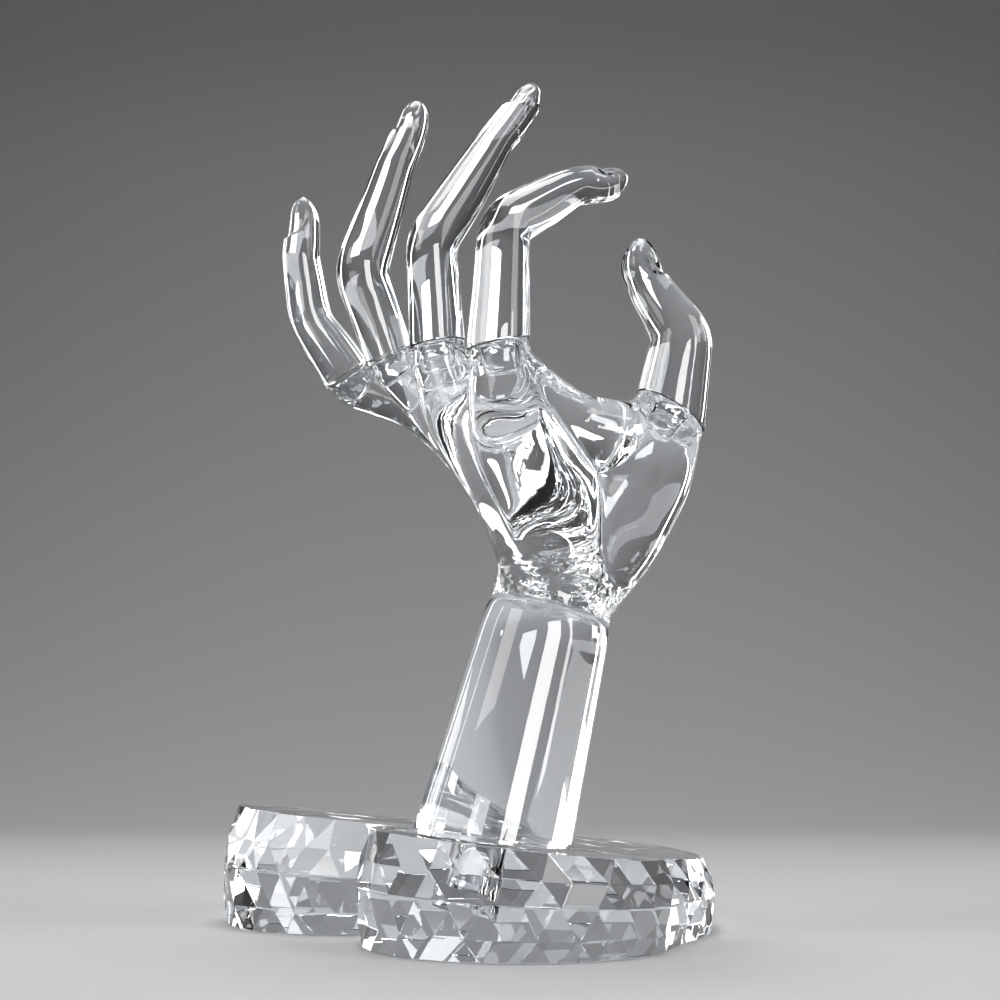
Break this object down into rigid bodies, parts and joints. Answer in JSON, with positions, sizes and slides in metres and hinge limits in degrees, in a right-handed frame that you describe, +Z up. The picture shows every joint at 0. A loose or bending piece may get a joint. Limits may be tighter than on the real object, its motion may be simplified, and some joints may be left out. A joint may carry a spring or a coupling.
{
  "type": "nail practice hand",
  "caption": "Clear acrylic display hand with separate fingers, on a leaning round arm that lifts out of a faceted heart stand; shallow nail beds take false nails.",
  "frame": {"origin": "on the stand's flat underside, midway between the centres of the heart's two lobes", "axes": "+Z up, +X the way the arm leans and the sloping top falls, +Y away from the side with the arm"},
  "size_m": [0.1234, 0.1386, 0.201],
  "materials": {
    "stand_acrylic": "clear, polished and cut",
    "hand_acrylic": "clear and polished"
  },
  "bodies": {
    "stand": {"heart_stand": "stand_acrylic"},
    "hand": {"forearm": "hand_acrylic", "palm": "hand_acrylic", "index_finger": "hand_acrylic", "middle_finger": "hand_acrylic", "ring_finger": "hand_acrylic", "little_finger": "hand_acrylic", "thumb": "hand_acrylic"}
  },
  "joints": [
    {"name": "arm_lift", "type": "slide", "parent": "stand", "child": "hand", "axis": [0.2479, 0.0348, 0.9681], "range_m": [0, 0.012]}
  ]
}
